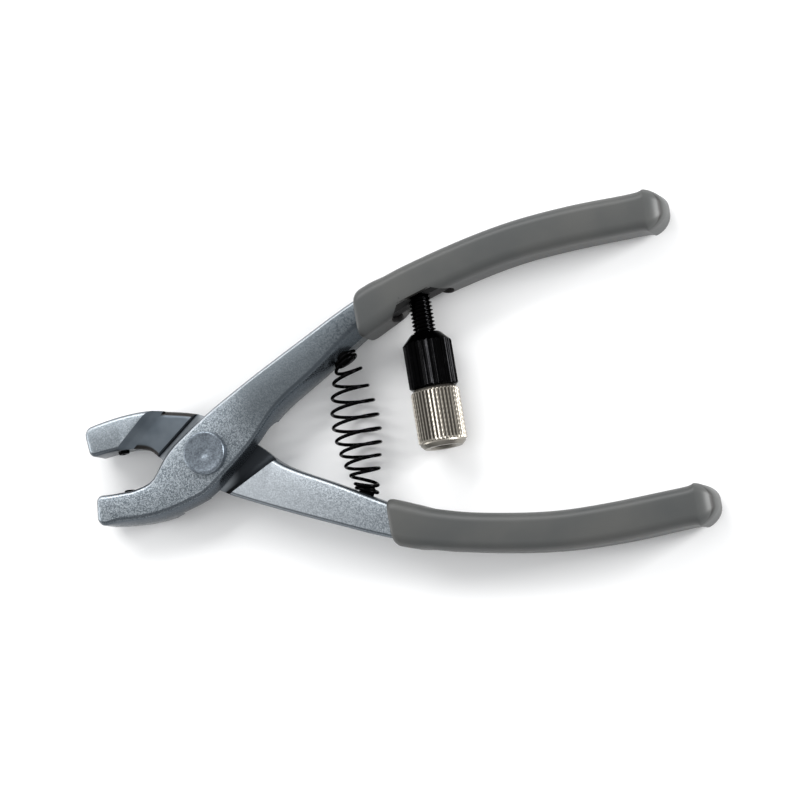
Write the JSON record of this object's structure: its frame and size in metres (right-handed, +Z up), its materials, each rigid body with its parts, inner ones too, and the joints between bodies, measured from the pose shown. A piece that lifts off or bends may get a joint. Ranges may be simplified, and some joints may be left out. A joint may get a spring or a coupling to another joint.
{
  "type": "circlip pliers",
  "caption": "Spring-opened circlip pliers with a half-lap pivot, short angled jaws, sleeved handles and a knurled screw stop with its lock nut.",
  "frame": {"origin": "centre of the pivot rivet's rear face, in the plane that the tool lies on", "axes": "+X from the pivot to the handles along the line midway between them, +Y to the handle that carries the stop screw, +Z up along the pivot"},
  "size_m": [0.1637, 0.0862, 0.0132],
  "materials": {
    "forged_steel": "shot blasted, clear lacquered",
    "rivet_steel": "satin, struck",
    "grip_sleeve": "soft matte moulded",
    "black_steel": "black oxide",
    "plated_steel": "nickel plated, knurled"
  },
  "bodies": {
    "rear_half": {"rear_arm": "forged_steel", "pivot_rivet": "rivet_steel", "lower_grip": "grip_sleeve", "lower_spring_peg": "black_steel", "return_spring": "black_steel", "upper_jaw_pin": "black_steel"},
    "front_half": {"front_arm": "forged_steel", "upper_grip": "grip_sleeve", "upper_spring_peg": "black_steel", "stop_screw": "black_steel", "lower_jaw_pin": "black_steel"},
    "lock_nut": {"lock_nut": "black_steel"},
    "stop_head": {"stop_head": "plated_steel"}
  },
  "joints": [
    {"name": "pivot", "type": "hinge", "parent": "rear_half", "child": "front_half", "pos_m": [0, 0, 0], "axis": [0, 0, -1], "range_deg": [0, 13.3], "stiffness_Nm_per_rad": 0.8, "deforming": ["return_spring"]},
    {"name": "stop_travel", "type": "slide", "parent": "front_half", "child": "lock_nut", "axis": [0, 1, 0], "range_m": [0, 0.006]},
    {"name": "stop_turn", "type": "hinge", "parent": "lock_nut", "child": "stop_head", "pos_m": [0.0625, 0, 0.0066], "axis": [0, 1, 0], "range_deg": [0, 2160]}
  ],
  "couplings": [
    {"joint": "stop_travel", "follows": "stop_turn", "m_per_rad": 0.00015915}
  ]
}
